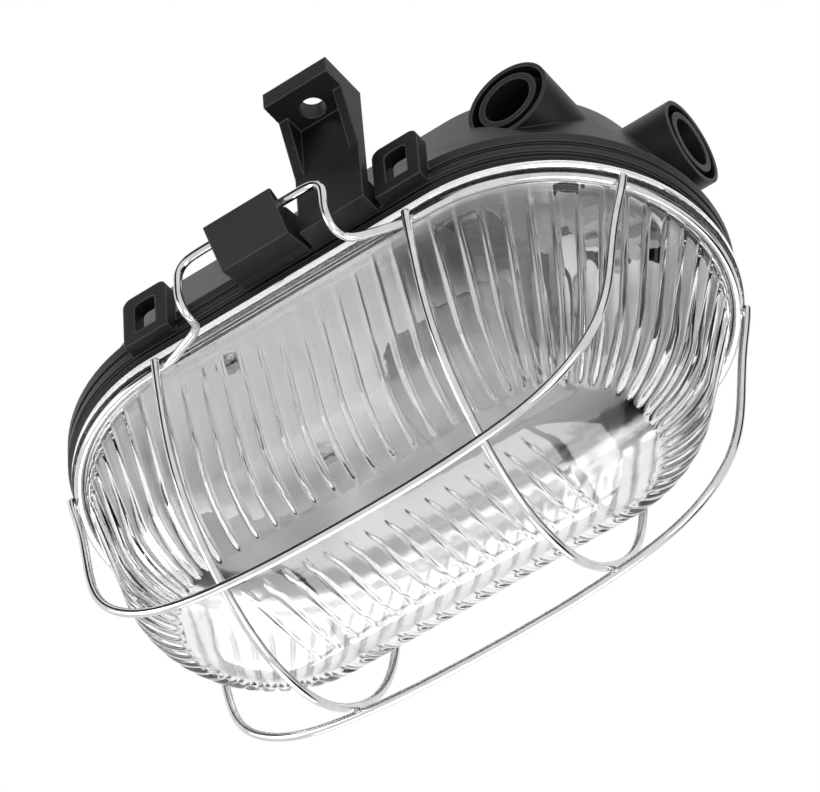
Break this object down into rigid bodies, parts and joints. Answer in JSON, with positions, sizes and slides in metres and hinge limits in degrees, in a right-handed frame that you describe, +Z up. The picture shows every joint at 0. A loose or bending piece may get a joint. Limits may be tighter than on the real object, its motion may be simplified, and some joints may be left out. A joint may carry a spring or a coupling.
{
  "type": "ceiling light",
  "caption": "Oval bulkhead ceiling light: black moulded pan with cable spouts and feet, ribbed pressed-glass cover and a sprung wire guard hooked over both sides.",
  "frame": {"origin": "on the ceiling plane, midway between the two mounting feet's screw holes", "axes": "+Z up into the ceiling, +X along the light towards the end cable entry, +Y across it"},
  "size_m": [0.223, 0.165, 0.1446],
  "materials": {
    "black_moulding": "matt moulded",
    "seal_rubber": "matt",
    "pressed_glass": "clear pressed",
    "bright_wire": "bright plated",
    "tray_sheet": "satin",
    "steel_screws": "zinc plated",
    "porcelain": "glazed",
    "shell_brass": "plated",
    "bracket_steel": "zinc plated",
    "block_plastic": "matt",
    "live_sleeving": "satin",
    "neutral_sleeving": "satin"
  },
  "bodies": {
    "base": {"base_housing": "black_moulding", "rim_gasket": "seal_rubber", "reflector": "tray_sheet", "reflector_screws": "steel_screws", "bracket_screws": "steel_screws", "lampholder_body": "porcelain", "lampholder_shell": "shell_brass", "lampholder_contact": "shell_brass", "lampholder_bracket": "bracket_steel", "holder_screws": "steel_screws", "terminal_block": "block_plastic", "terminal_sleeves": "shell_brass", "terminal_screws": "steel_screws", "terminal_fixing_screw": "steel_screws", "lead_live": "live_sleeving", "lead_neutral": "neutral_sleeving"},
    "guard": {"guard_ring": "bright_wire", "guard_hoop_left": "bright_wire", "guard_hoop_right": "bright_wire", "guard_wire_front": "bright_wire", "guard_wire_back": "bright_wire", "glass_cover": "pressed_glass"}
  },
  "joints": [
    {"name": "guard_swing", "type": "hinge", "parent": "base", "child": "guard", "pos_m": [0, 0.0741, -0.0401], "axis": [1, 0, 0], "range_deg": [0, 110], "deforming": ["guard_ring"]}
  ]
}
